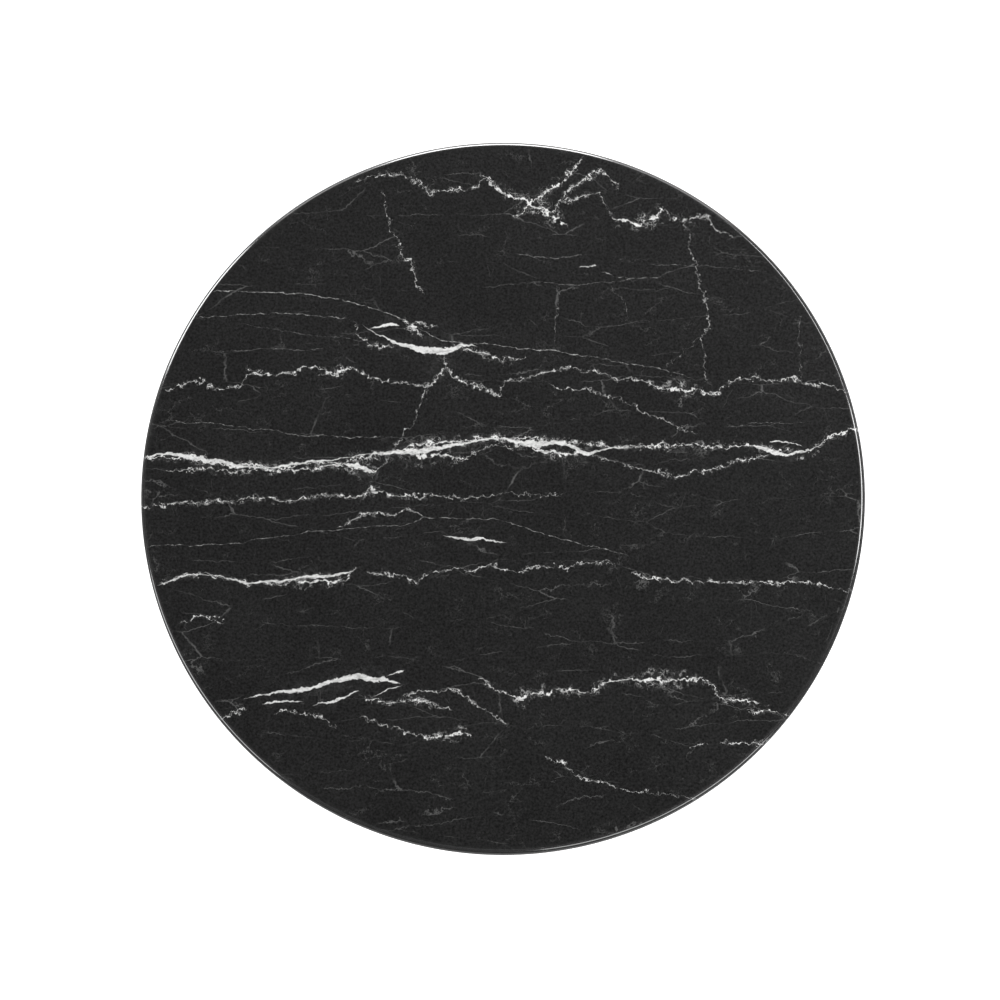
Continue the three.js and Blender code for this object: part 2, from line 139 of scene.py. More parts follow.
def turned(profile, steps=ROUND_STEPS):
    """A solid of revolution about Z, from a profile that ends on the axis or closes on itself."""
    bm = bmesh.new()
    wire = [bm.verts.new((r, 0, z)) for r, z in profile]
    on_axis = profile[0][0] == 0
    ends = wire[1:] if on_axis else wire[1:] + wire[:1]
    for pair in zip(wire, ends):
        bm.edges.new(pair)
    bmesh.ops.spin(
        bm,
        geom=bm.verts[:] + bm.edges[:],
        axis=(0, 0, 1),
        cent=(0, 0, 0),
        angle=math.tau,
        steps=steps,
        use_merge=True,
    )
    bmesh.ops.remove_doubles(bm, verts=bm.verts, dist=1e-4)
    bmesh.ops.recalc_face_normals(bm, faces=bm.faces)
    return bm


def ring(inner, outer, bottom, top, steps=ROUND_STEPS):
    return turned([(inner, bottom), (outer, bottom), (outer, top), (inner, top)], steps)


def disc(radius, bottom, top, steps=ROUND_STEPS):
    return turned([(0, bottom), (radius, bottom), (radius, top), (0, top)], steps)


def soften(bm, width, segments=2, sharper_than=30):
    """Rounds every edge that turns by more than an angle."""
    limit = math.radians(sharper_than)
    edges = [e for e in bm.edges if e.is_manifold and e.calc_face_angle() > limit]
    bmesh.ops.bevel(
        bm,
        geom=edges,
        offset=width,
        affect="EDGES",
        segments=segments,
        profile=0.5,
        material=-1,
        clamp_overlap=True,
    )
    return bm


def make_hexagonal(bm, radius, across_flats):
    """Moves the rings of one radius onto a hexagon with its corners along X."""
    for v in bm.verts:
        if abs(math.hypot(v.co.x, v.co.y) - radius) < 1e-3:
            turn = math.atan2(v.co.y, v.co.x) % (math.pi / 3) - math.pi / 6
            stretch = across_flats / 2 / math.cos(turn) / radius
            v.co.x *= stretch
            v.co.y *= stretch
    return bm


def moved(bm, x=0, y=0, z=0):
    bmesh.ops.translate(bm, vec=(x, y, z), verts=bm.verts)
    return bm


def as_object(name, bm):
    mesh = bpy.data.meshes.new(name)
    bm.to_mesh(mesh)
    bm.free()
    made = bpy.data.objects.new(name, mesh)
    bpy.context.scene.collection.objects.link(made)
    return made


def drilled(bm, cutters):
    """The shape with each cutter taken out of it."""
    body = as_object("blank", bm)
    tools = [as_object("cutter", cutter) for cutter in cutters]
    for tool in tools:
        cut = body.modifiers.new("cut", "BOOLEAN")
        cut.operation = "DIFFERENCE"
        cut.solver = "EXACT"
        cut.object = tool
    bpy.context.view_layer.update()
    shape = body.evaluated_get(bpy.context.evaluated_depsgraph_get())
    left = bmesh.new()
    left.from_mesh(shape.to_mesh())
    for used in [body, *tools]:
        mesh = used.data
        bpy.data.objects.remove(used)
        bpy.data.meshes.remove(mesh)
    bmesh.ops.dissolve_degenerate(left, dist=1e-4, edges=left.edges)
    return left


def finish_piece(name, bm, material, node=None, body="table"):
    """Makes the shape a piece of the table that stands for a CAD node."""
    bmesh.ops.scale(bm, vec=(METRES, METRES, METRES), verts=bm.verts)
    piece = as_object(name, bm)
    piece.data.shade_smooth()
    piece.data.set_sharp_from_angle(angle=SHARP_ANGLE)
    piece.data.materials.append(material)
    flats = piece.modifiers.new("flat_faces_stay_flat", "WEIGHTED_NORMAL")
    flats.keep_sharp = True
    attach(piece, body)
    if node:
        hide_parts(node)
    return piece


# ---------------------------------------------------------------- material helpers


def add_node(tree, kind, inputs=None, **settings):
    """A node with its settings, and its inputs set or linked."""
    made = tree.nodes.new(kind)
    for key, value in settings.items():
        setattr(made, key, value)
    for key, value in (inputs or {}).items():
        if isinstance(value, bpy.types.NodeSocket):
            tree.links.new(value, made.inputs[key])
        else:
            made.inputs[key].default_value = value
    return made


def calc(tree, operation, a, b=0.0, c=0.0, clamp=False):
    """The result of a maths node."""
    inputs = {0: a, 1: b, 2: c}
    made = add_node(tree, "ShaderNodeMath", inputs, operation=operation, use_clamp=clamp)
    return made.outputs[0]


def between(tree, value, low, high, to_low=0.0, to_high=1.0, smooth=False):
    """The value mapped from one range to another, and held inside it."""
    inputs = {"Value": value, "From Min": low, "From Max": high, "To Min": to_low, "To Max": to_high}
    style = "SMOOTHSTEP" if smooth else "LINEAR"
    return add_node(tree, "ShaderNodeMapRange", inputs, interpolation_type=style).outputs[0]


def blend_colour(tree, share, first, second):
    made = add_node(tree, "ShaderNodeMix", data_type="RGBA")
    inputs = {"Factor": share, 6: first, 7: second}
    for key, value in inputs.items():
        socket = made.inputs[key]
        if isinstance(value, bpy.types.NodeSocket):
            tree.links.new(value, socket)
        else:
            socket.default_value = value
    return made.outputs[2]


def noise(tree, where, size, detail=3.0, roughness=0.55, distortion=0.0):
    """Noise with features of a size in millimetres."""
    inputs = {
        "Vector": where,
        "Scale": 1 / (size * METRES),
        "Detail": detail,
        "Roughness": roughness,
        "Distortion": distortion,
    }
    return add_node(tree, "ShaderNodeTexNoise", inputs)


def object_place(tree):
    return add_node(tree, "ShaderNodeTexCoord").outputs["Object"]


def grey(value):
    return (value, value, value, 1)


def new_group(name, inputs, outputs):
    """A node group, with its input and output nodes. Sockets are given as name: default value."""
    group = bpy.data.node_groups.new(name, "ShaderNodeTree")
    for side, sockets in (("INPUT", inputs), ("OUTPUT", outputs)):
        for socket_name, value in sockets.items():
            kind = "NodeSocketVector" if value is None else "NodeSocketFloat"
            if isinstance(value, tuple):
                kind = "NodeSocketColor"
            made = group.interface.new_socket(socket_name, in_out=side, socket_type=kind)
            if value is not None:
                made.default_value = value
    return group, group.nodes.new("NodeGroupInput"), group.nodes.new("NodeGroupOutput")


def use_group(tree, group, inputs):
    made = add_node(tree, "ShaderNodeGroup", node_tree=group)
    for key, value in inputs.items():
        if isinstance(value, bpy.types.NodeSocket):
            tree.links.new(value, made.inputs[key])
        else:
            made.inputs[key].default_value = value
    return made


def make_grain_group():
    """Fine grain over a slower unevenness, as on coats, castings and moulded plastic."""
    group, given, result = new_group(
        "surface_grain",
        {"Place": None, "Grain per m": 1500.0, "Patch per m": 25.0},
        {"Height": 0.0, "Patches": 0.0},
    )
    fine = add_node(
        group,
        "ShaderNodeTexNoise",
        {"Vector": given.outputs["Place"], "Scale": given.outputs["Grain per m"], "Detail": 3.0},
    )
    slow = add_node(
        group,
        "ShaderNodeTexNoise",
        {"Vector": given.outputs["Place"], "Scale": given.outputs["Patch per m"], "Detail": 4.0},
    )
    group.links.new(fine.outputs["Fac"], result.inputs["Height"])
    group.links.new(between(group, slow.outputs["Fac"], 0.3, 0.7), result.inputs["Patches"])
    return group


GRAIN = make_grain_group()


def plain_finish(name, colour, roughness, grain=1500, height=0.00002, uneven=0.15, metallic=0, coat=0):
    """A finish with fine grain in its relief and slow patches in its colour and gloss."""
    material = bpy.data.materials.new(name)
    material.use_nodes = True
    tree = material.node_tree
    shader = tree.nodes["Principled BSDF"]
    grained = use_group(tree, GRAIN, {"Place": object_place(tree), "Grain per m": float(grain)})
    patches = grained.outputs["Patches"]
    dark = tuple(c * (1 - uneven) for c in colour[:3]) + (1,)
    light = tuple(min(c * (1 + uneven), 1) for c in colour[:3]) + (1,)
    gloss = between(tree, patches, 0, 1, roughness - 0.06, roughness + 0.06)
    relief = add_node(
        tree,
        "ShaderNodeBump",
        {"Height": grained.outputs["Height"], "Distance": height, "Strength": 1.0},
    )
    tree.links.new(blend_colour(tree, patches, dark, light), shader.inputs["Base Color"])
    tree.links.new(gloss, shader.inputs["Roughness"])
    tree.links.new(relief.outputs[0], shader.inputs["Normal"])
    shader.inputs["Metallic"].default_value = metallic
    shader.inputs["Coat Weight"].default_value = coat
    return material


# ---------------------------------------------------------------- marble

# Each track is a chain of veins that follow one another: (place along, place across, half width),
# in millimetres from the middle of the top before PATTERN_SHIFT. Veins end where the half width
# is 0. Level tracks run along X, and upright tracks along Y.
LEVEL_TRACKS = [
    [(-200, 411, 0), (-153, 422, 0.8), (-125, 422, 0.8), (-106, 410, 0.9), (-94, 397, 1.2),
     (-69, 403, 1.2), (-45, 403, 0.9), (-17, 416, 1.0), (-2, 396, 1.2), (22, 388, 0.8), (35, 384, 0),
     (70, 385, 0), (76, 385, 0.8), (127, 396, 0.9), (136, 372, 1.0), (142, 361, 1.4), (176, 358, 2.2),
     (199, 368, 3.0), (208, 379, 1.6), (214, 370, 1.2), (231, 360, 0.8), (256, 366, 1.0),
     (272, 349, 0.9), (294, 343, 0.6), (300, 340, 0)],
    [(-35, 426, 0), (-29, 424, 0.9), (-10, 405, 1.4), (9, 392, 2.0), (35, 381, 2.6), (54, 370, 3.0),
     (75, 362, 2.0), (82, 355, 0)],
    [(60, 366, 0), (62, 370, 1.0), (82, 396, 1.2), (126, 424, 1.0), (146, 407, 0.9), (150, 400, 0)],
    [(12, 362, 0), (18, 368, 1.4), (35, 384, 2.2), (73, 411, 1.6), (100, 439, 1.0), (106, 445, 0)],
    [(-191, 230, 0), (-187, 227, 0.8), (-180, 207, 1.0), (-154, 196, 1.2), (-130, 201, 0),
     (-60, 196, 0), (-54, 199, 1.2), (-29, 186, 1.4), (0, 179, 1.0), (28, 181, 0.6), (35, 181, 0)],
    [(-430, 143, 0), (-423, 144, 0.8), (-383, 152, 0.8), (-355, 144, 0.8), (-332, 148, 0.7),
     (-326, 165, 0.8), (-288, 160, 0.8), (-265, 164, 0.9), (-256, 174, 0.8), (-233, 166, 0.9),
     (-212, 164, 1.3), (-187, 169, 1.2), (-170, 158, 0.7), (-150, 152, 0.6), (-92, 144, 0.8),
     (-73, 165, 0.9), (-54, 153, 0.9), (-3, 135, 0.9), (3, 153, 0.8), (79, 168, 0.8),
     (111, 161, 0.8), (148, 156, 0.8), (205, 147, 1.2), (224, 141, 4.0), (243, 143, 1.0),
     (275, 134, 0.7), (284, 147, 0.7), (326, 156, 0.8), (364, 153, 0.8), (401, 146, 0.7),
     (427, 141, 0.6)],
    [(-134, 236, 0), (-124, 230, 1.2), (-112, 222, 2.2), (-104, 215, 0.9), (-98, 206, 0)],
    [(-130, 216, 0), (-118, 224, 1.0), (-106, 228, 0.9), (-84, 221, 0.5), (-82, 221, 0)],
    [(55, 152, 0), (61, 150, 0.5), (73, 143, 0.6), (123, 137, 0.6), (148, 130, 0.6),
     (174, 117, 0.6), (199, 102, 0.6), (237, 85, 0.5), (250, 80, 0)],
    [(-457, 53, 1.0), (-427, 57, 1.2), (-395, 52, 1.4), (-364, 48, 1.4), (-326, 42, 1.6),
     (-294, 38, 1.6), (-256, 45, 1.2), (-218, 49, 1.0), (-161, 56, 1.2), (-92, 72, 1.6),
     (-41, 75, 1.4), (22, 79, 1.4), (47, 79, 1.2), (92, 72, 1.0), (161, 67, 1.1), (250, 69, 1.0),
     (307, 68, 1.2), (345, 63, 1.2), (376, 56, 1.2), (401, 69, 1.6), (412, 81, 1.6), (446, 89, 1.2)],
    [(-440, 40, 0), (-400, 39, 0.8), (-340, 36, 1.0), (-250, 38, 0.8), (-200, 47, 2.0),
     (-180, 41, 3.6), (-158, 33, 1.6), (-150, 45, 0.6), (-136, 64, 2.0), (-100, 58, 2.6),
     (-54, 50, 1.5), (-40, 55, 0.5), (0, 68, 0.6), (28, 68, 1.2), (60, 62, 2.6), (92, 58, 1.6),
     (110, 55, 0.8), (150, 45, 0.5), (218, 29, 0.8), (262, 38, 0.9), (307, 48, 0.9),
     (332, 53, 0.8), (345, 60, 0)],
    [(-457, -11, 0.8), (-408, -7, 1.0), (-320, 3, 1.0), (-275, -1, 1.0), (-218, 3, 1.0),
     (-161, 8, 1.2), (-104, 3, 0.9), (-41, 3, 0.6), (22, 5, 0.5), (73, 9, 0.4), (85, 9, 0)],
    [(-210, -38, 0), (-202, -36, 0.8), (-178, -23, 1.0), (-142, -18, 0.9), (-117, -11, 0.8),
     (-102, -19, 0.6), (-95, -25, 0)],
    [(-435, -110, 0), (-427, -106, 0.7), (-383, -92, 0.8), (-320, -109, 0.8), (-269, -103, 1.2),
     (-244, -104, 1.8), (-199, -101, 1.4), (-187, -90, 0.9), (-180, -88, 0), (-172, -92, 0),
     (-168, -94, 0.7), (-142, -99, 0.8), (-107, -110, 1.0), (-98, -96, 0.9), (-54, -92, 0.9),
     (-18, -85, 0.8), (12, -94, 0.7), (50, -87, 0.7), (135, -83, 0.6), (150, -88, 0),
     (160, -95, 0), (168, -97, 0.8), (250, -106, 0.8), (351, -108, 0.9), (442, -114, 0.6)],
    [(-405, -160, 0), (-399, -158, 0.8), (-379, -149, 1.0), (-351, -155, 0.7), (-345, -157, 0),
     (-35, -231, 0), (-29, -231, 0.8),
     (12, -251, 1.6), (26, -253, 3.2), (41, -245, 1.4), (100, -247, 1.0), (147, -233, 1.6),
     (191, -231, 2.4), (223, -231, 2.0), (257, -233, 1.0), (274, -257, 1.2), (299, -258, 1.4),
     (320, -260, 1.0), (330, -262, 0)],
    [(-180, -248, 0), (-165, -258, 1.0), (-98, -258, 1.1), (-67, -266, 0.6), (-60, -268, 0),
     (305, -268, 0),
     (312, -272, 0.9), (333, -269, 1.0), (361, -278, 0.6), (368, -280, 0)],
    [(-130, -255, 0), (-124, -252, 0.7), (-86, -243, 0.8), (-60, -243, 0.9), (-35, -258, 0.8),
     (3, -284, 0.6), (10, -288, 0), (50, -326, 0), (54, -328, 0.8), (76, -338, 1.0),
     (92, -352, 0.8), (174, -374, 0.5), (250, -381, 0.4), (260, -382, 0)],
    [(-360, -282, 0), (-355, -280, 0.6), (-326, -269, 0.8), (-322, -268, 0), (-285, -270, 0),
     (-279, -271, 0.7), (-231, -274, 0.8), (-206, -290, 0.5), (-200, -292, 0), (-180, -280, 0),
     (-174, -281, 0.7), (-124, -293, 0.8), (-92, -301, 0.9), (-51, -298, 2.5), (-40, -300, 0),
     (230, -312, 0), (237, -312, 0.8), (252, -312, 0.8), (258, -312, 0), (270, -312, 0),
     (275, -312, 0.8), (319, -312, 0.8), (334, -307, 0.8), (340, -306, 0)],
]
# Thin, nearly straight veins, along X.
FINE_TRACKS = [
    [(-372, 269, 0), (-365, 268, 0.6), (-305, 267, 0.6), (-255, 266, 0.6), (-205, 256, 0.6),
     (-155, 245, 0.5), (-123, 231, 0.6), (-80, 205, 0.5), (-29, 201, 0.5), (60, 192, 0.5),
     (148, 177, 0.45), (199, 168, 0.45), (237, 156, 0.4), (242, 155, 0)],
    [(-388, 236, 0), (-383, 236, 0.5), (-270, 240, 0.45), (-199, 233, 0.4), (-195, 233, 0)],
    [(-430, 101, 0), (-424, 101, 0.35), (-380, 98, 0.4), (-300, 89, 0.4), (-235, 81, 0.45),
     (-180, 81, 0.4), (-140, 79, 0.35), (-134, 79, 0)],
    [(36, 280, 0), (43, 280, 0.35), (80, 277, 0.35), (130, 281, 0.3), (197, 286, 0.25), (202, 286, 0)],
    [(15, 317, 0), (20, 317, 0.4), (46, 313, 0.4), (72, 312, 0.4), (104, 318, 0.3), (108, 318, 0)],
    [(94, 300, 0), (100, 301, 1.2), (114, 302, 1.2), (118, 302, 0), (121, 295, 0), (125, 294, 0.4),
     (159, 284, 0.4), (200, 287, 0.3), (205, 287, 0)],
    [(186, 304, 0), (191, 304, 0.3), (264, 301, 0.3), (325, 295, 0.3), (330, 295, 0)],
    [(282, 93, 0), (287, 94, 0.3), (316, 98, 0.3), (386, 98, 0.25), (391, 98, 0)],
    [(-372, 190, 0), (-366, 190, 0.3), (-300, 194, 0.3), (-230, 194, 0.25), (-225, 194, 0)],
    [(-330, 225, 0), (-325, 224, 0.25), (-240, 212, 0.25), (-165, 204, 0.2), (-160, 204, 0)],
    [(-457, -60, 0.4), (-383, -60, 0.4), (-307, -52, 0.4), (-250, -42, 0.4), (-130, -33, 0.4),
     (-98, -25, 0.4), (-10, -27, 0.4), (41, -42, 0.5), (98, -59, 0.5), (151, -69, 0.4),
     (160, -72, 0)],
]
# Smooth spear-shaped veins, along X.
SPEAR_TRACKS = [
    [(-330, -257, 0), (-306, -251, 1.2), (-281, -247, 2.0), (-256, -245, 3.4), (-231, -240, 2.6),
     (-206, -231, 3.0), (-181, -226, 4.6), (-157, -230, 3.6), (-136, -235, 2.0), (-126, -236, 0)],
    [(-242, -266, 0), (-229, -262, 1.2), (-212, -259, 2.4), (-200, -254, 2.2), (-187, -246, 1.4),
     (-180, -243, 0), (-165, -252, 0), (-155, -248, 0.9), (-132, -240, 0.9), (-122, -237, 0)],
    [(-300, -262, 0), (-294, -260, 1.4), (-262, -258, 1.2), (-250, -258, 0), (-144, -229, 0),
     (-138, -226, 1.2), (-128, -222, 2.0), (-122, -221, 0)],
    [(-172, 222, 0), (-160, 224, 1.6), (-140, 226, 3.0), (-130, 224, 0)],
    [(-178, 227, 0), (-170, 221, 1.2), (-158, 212, 0.9), (-148, 209, 2.0), (-136, 200, 2.6),
     (-118, 196, 3.2), (-96, 191, 6.0), (-78, 189, 6.6), (-62, 193, 4.6), (-52, 199, 3.0),
     (-40, 200, 1.4), (-30, 196, 0)],
    [(-76, -47, 0), (-66, -49, 1.4), (-46, -51, 2.4), (-30, -51, 2.0), (-8, -54, 1.4), (6, -57, 0)],
    [(-205, 46, 0), (-196, 44, 3.0), (-182, 40, 4.6), (-168, 35, 3.4), (-160, 33, 0)],
    [(-457, 50, 0), (-450, 53, 1.0), (-421, 57, 2.2), (-392, 52, 2.8), (-366, 47, 3.0),
     (-334, 43, 2.4), (-302, 42, 1.0), (-273, 43, 2.2), (-238, 48, 1.6), (-197, 54, 0.8),
     (-157, 58, 1.0), (-125, 58, 3.2), (-96, 63, 4.2), (-67, 69, 3.0), (-37, 74, 1.6),
     (-6, 78, 1.2), (4, 79, 0)],
    [(-438, -113, 0), (-433, -111, 0.6), (-407, -99, 1.6), (-383, -93, 0.8), (-357, -99, 0.8),
     (-331, -105, 2.2), (-320, -108, 1.8), (-302, -105, 2.3), (-279, -105, 2.2), (-256, -102, 1.2),
     (-238, -101, 3.6), (-212, -99, 2.4), (-189, -93, 0.9), (-182, -88, 0)],
    [(-10, 79, 0), (0, 78, 1.4), (20, 73, 3.2), (46, 70, 5.2), (66, 73, 4.4), (80, 70, 2.6),
     (92, 62, 3.0), (105, 58, 3.4), (118, 62, 1.4), (135, 66, 1.2), (160, 67, 0.9), (166, 67, 0)],
    [(300, 70, 0), (316, 70, 1.2), (331, 66, 3.2), (345, 61, 3.6), (362, 57, 2.2), (380, 61, 1.4),
     (398, 66, 0)],
    [(338, 75, 0), (345, 75, 1.3), (360, 74, 1.3), (374, 68, 0.8), (378, 66, 0)],
]
UPRIGHT_TRACKS = [
    [(150, 257, 0), (156, 256, 0.4), (211, 253, 0.45), (224, 262, 0.5), (250, 260, 0.5),
     (289, 250, 0.5), (321, 237, 0.5), (357, 231, 0.5), (375, 228, 0)],
    [(75, -132, 0.5), (121, -104, 0.7), (138, -98, 0.8), (164, -75, 0.8), (179, -73, 0.6),
     (188, -74, 0), (262, -98, 0), (269, -103, 0.7), (294, -112, 0.8), (321, -131, 0.6), (350, -141, 0.5),
     (394, -153, 0.45), (402, -155, 0)],
    [(165, 200, 0), (169, 205, 0.35), (220, 262, 0.4), (225, 266, 0)],
    [(150, 378, 0), (155, 378, 0.35), (200, 377, 0.35), (238, 380, 0.3), (244, 380, 0)],
    [(196, 66, 0), (200, 66, 0.35), (240, 69, 0.3), (274, 72, 0.3), (278, 72, 0)],
    [(230, 155, 0), (234, 155, 0.35), (257, 155, 0.4), (274, 136, 0.35), (278, 134, 0)],
]
TRACK_SPAN = 457  # tracks are drawn from minus this to this
WIDEST_VEIN = 10
VEIN_WHITE = (0.80, 0.80, 0.79, 1)
SATIN_SPECULAR = 0.16
GLOSSY_ROUGHNESS = 0.12
GLOSS_AXIS = (0, -0.094, 0.9956)  # the edge's gloss starts a little lower on the -Y side
PATTERN_SHIFT = (0.0005, 0.008, 0)  # the veins lie this much nearer -Y than the tracks say


def vein_track_group(name, points):
    """One track. Along, Across and Width are millimetres; Width scales the veins' widths."""
    group, given, result = new_group(
        name, {"Along": 0.0, "Across": 0.0, "Width": 1.0}, {"Line": 0.0, "Nearness": 0.0}
    )
    along = between(group, given.outputs["Along"], -TRACK_SPAN, TRACK_SPAN)
    route = add_node(group, "ShaderNodeRGBCurve", {"Color": along})
    for channel, value_of in (
        (0, lambda p: (p[1] + TRACK_SPAN) / (2 * TRACK_SPAN)),
        (1, lambda p: p[2] / WIDEST_VEIN),
    ):
        curve = route.mapping.curves[channel]
        places = [((p[0] + TRACK_SPAN) / (2 * TRACK_SPAN), value_of(p)) for p in points]
        curve.points[0].location = places[0]
        curve.points[-1].location = places[-1]
        for spot in places[1:-1]:
            curve.points.new(*spot)
        for point in curve.points:
            point.handle_type = "VECTOR"
    route.mapping.update()
    parts = add_node(group, "ShaderNodeSeparateColor", {0: route.outputs[0]})
    across = calc(group, "MULTIPLY_ADD", parts.outputs[0], 2 * TRACK_SPAN, -TRACK_SPAN)
    away = calc(group, "ABSOLUTE", calc(group, "SUBTRACT", given.outputs["Across"], across))
    width = calc(group, "MULTIPLY", parts.outputs[1], WIDEST_VEIN)
    broken = calc(group, "MULTIPLY", width, given.outputs["Width"])
    line = calc(group, "MULTIPLY", calc(group, "SUBTRACT", broken, away), 1.6, clamp=True)
    halo = calc(group, "MULTIPLY_ADD", width, 8.0, -3.0)
    near = calc(group, "SUBTRACT", 1.0, calc(group, "DIVIDE", away, calc(group, "MAXIMUM", halo, 0.01)))
    near = calc(group, "MAXIMUM", near, 0.0)
    group.links.new(line, result.inputs["Line"])
    group.links.new(near, result.inputs["Nearness"])
    return group


def cracks(tree, where, cell, thickness):
    """Thin lines between cells. A cell is (along X, along Y), and all sizes are millimetres."""
    stretch = cell[0] / cell[1]
    laid = add_node(
        tree, "ShaderNodeMapping", {"Vector": where, "Scale": (1 / stretch, 1, 1)}
    ).outputs[0]
    edges = add_node(
        tree,
        "ShaderNodeTexVoronoi",
        {"Vector": laid, "Scale": 1 / (cell[1] * METRES)},
        feature="DISTANCE_TO_EDGE",
    ).outputs["Distance"]
    return between(tree, edges, 0, thickness / cell[1], 1, 0)


def wandering(tree, where, swings):
    """The place moved about by noise. Each swing is (size, reach, detail), in millimetres."""
    moved_place = where
    for size, reach_mm, detail in swings:
        swing = noise(tree, where, size, detail).outputs["Color"]
        inputs = {0: swing, 1: (0.5, 0.5, 0.5)}
        centred = add_node(tree, "ShaderNodeVectorMath", inputs, operation="SUBTRACT")
        inputs = {0: centred.outputs[0], "Scale": reach_mm * METRES}
        scaled = add_node(tree, "ShaderNodeVectorMath", inputs, operation="SCALE")
        inputs = {0: moved_place, 1: scaled.outputs[0]}
        moved_place = add_node(tree, "ShaderNodeVectorMath", inputs, operation="ADD").outputs[0]
    return moved_place


def axes_in_mm(tree, where):
    """The place's X and Y in millimetres."""
    in_mm = add_node(tree, "ShaderNodeVectorMath", {0: where, "Scale": 1 / METRES}, operation="SCALE")
    axes = add_node(tree, "ShaderNodeSeparateXYZ", {0: in_mm.outputs[0]})
    return axes.outputs[0], axes.outputs[1]


def make_marble():
    """Black marble with drawn veins, satin on its face and glossy on its rounded edge."""
    material = bpy.data.materials.new("black_marble")
    material.use_nodes = True
    tree = material.node_tree
    shader = tree.nodes["Principled BSDF"]
    place_here = object_place(tree)
    settled = {"Vector": place_here, "Scale": (1, 1, 0.6), "Location": PATTERN_SHIFT}
    flat = add_node(tree, "ShaderNodeMapping", settled).outputs[0]

    # most veins are ragged, and the spears are nearly smooth
    ragged = wandering(tree, flat, ((45, 14, 1.0), (15, 17, 2.0), (4.5, 11, 2.0), (2, 3, 2.0)))
    smooth = wandering(tree, flat, ((40, 9, 1.0), (9, 5, 2.0), (3, 2.4, 2.0)))
    x, y = axes_in_mm(tree, ragged)
    smooth_x, smooth_y = axes_in_mm(tree, smooth)

    # widths swell and pinch along a vein
    pinch = noise(tree, flat, 7, 4.0, 0.65).outputs["Fac"]
    width = between(tree, pinch, 0.36, 0.64, 0.15, 1.4)
    spear_width = between(tree, pinch, 0.36, 0.64, 0.55, 1.15)

    def draw_tracks(name, along, across, widths, tracks):
        lines, nearness = 0.0, 0.0
        for number, points in enumerate(tracks, 1):
            group = vein_track_group(f"{name}_{number}", points)
            track = use_group(tree, group, {"Along": along, "Across": across, "Width": widths})
            lines = calc(tree, "MAXIMUM", lines, track.outputs["Line"])
            nearness = calc(tree, "MAXIMUM", nearness, track.outputs["Nearness"])
        return lines, nearness

    level, near_level = draw_tracks("level_vein", x, y, width, LEVEL_TRACKS)
    upright, near_upright = draw_tracks("upright_vein", y, x, width, UPRIGHT_TRACKS)
    spears, near_spears = draw_tracks("spear", smooth_x, smooth_y, spear_width, SPEAR_TRACKS)
    fine, near_fine = draw_tracks("fine_vein", smooth_x, smooth_y, width, FINE_TRACKS)
    lines = calc(tree, "MAXIMUM", level, upright)
    nearness = calc(tree, "MAXIMUM", near_level, near_upright)

    # loops and hairs beside the veins, and hairlines over the rest
    def gate(size, low, high):
        return between(tree, noise(tree, flat, size, 3.0).outputs["Fac"], low, high)

    loops = calc(tree, "MULTIPLY", cracks(tree, ragged, (9, 6), 0.45), gate(14, 0.46, 0.6))
    loops = calc(tree, "MULTIPLY", loops, between(tree, nearness, 0.1, 0.5))
    hairs = calc(tree, "MULTIPLY", cracks(tree, smooth, (5, 26), 0.9), gate(10, 0.52, 0.64))
    hairs = calc(tree, "MULTIPLY", hairs, between(tree, nearness, 0, 0.4))
    long_hairlines = calc(tree, "MULTIPLY", cracks(tree, smooth, (190, 42), 0.4), gate(50, 0.47, 0.6))
    fine_hairlines = calc(tree, "MULTIPLY", cracks(tree, ragged, (60, 22), 0.35), gate(34, 0.52, 0.64))
    upright_hairlines = calc(tree, "MULTIPLY", cracks(tree, smooth, (30, 130), 0.8), gate(30, 0.56, 0.66))
    clouds = noise(tree, ragged, 12, 5.0, 0.7).outputs["Fac"]
    near_any = calc(tree, "MAXIMUM", nearness, calc(tree, "MAXIMUM", near_spears, near_fine))
    haze = calc(tree, "MULTIPLY", between(tree, clouds, 0.48, 0.75), between(tree, near_any, 0.1, 1))

    # solid white breaks up into streaks, less so in the spears
    streaks = add_node(tree, "ShaderNodeMapping", {"Vector": smooth, "Scale": (0.3, 1, 1)}).outputs[0]
    streaked = noise(tree, streaks, 4, 4.0, 0.7).outputs["Fac"]
    veins = calc(tree, "MULTIPLY", lines, between(tree, streaked, 0.32, 0.55, 0.4, 1))
    spears = calc(tree, "MULTIPLY", spears, between(tree, streaked, 0.36, 0.56, 0.5, 0.95))
    for part, strength in (
        (spears, 1.0),
        (fine, 0.6),
        (loops, 0.6),
        (hairs, 0.28),
        (long_hairlines, 0.12),
        (fine_hairlines, 0.08),
        (upright_hairlines, 0.06),
    ):
        veins = calc(tree, "MAXIMUM", veins, calc(tree, "MULTIPLY", part, strength))
    veins = calc(tree, "ADD", veins, calc(tree, "MULTIPLY", haze, 0.05), clamp=True)

    # the black ground: slow clouds and a fine crystalline grain
    slow = between(tree, noise(tree, flat, 110, 5.0).outputs["Fac"], 0.3, 0.7)
    grain = between(tree, noise(tree, flat, 3, 3.0, 0.7).outputs["Fac"], 0.3, 0.7, 0, 2)
    ground = blend_colour(tree, slow, grey(0.0105), grey(0.0125))
    grained = add_node(tree, "ShaderNodeVectorMath", {0: ground, "Scale": grain}, operation="SCALE")
    colour = blend_colour(tree, veins, grained.outputs[0], VEIN_WHITE)
    tree.links.new(colour, shader.inputs["Base Color"])

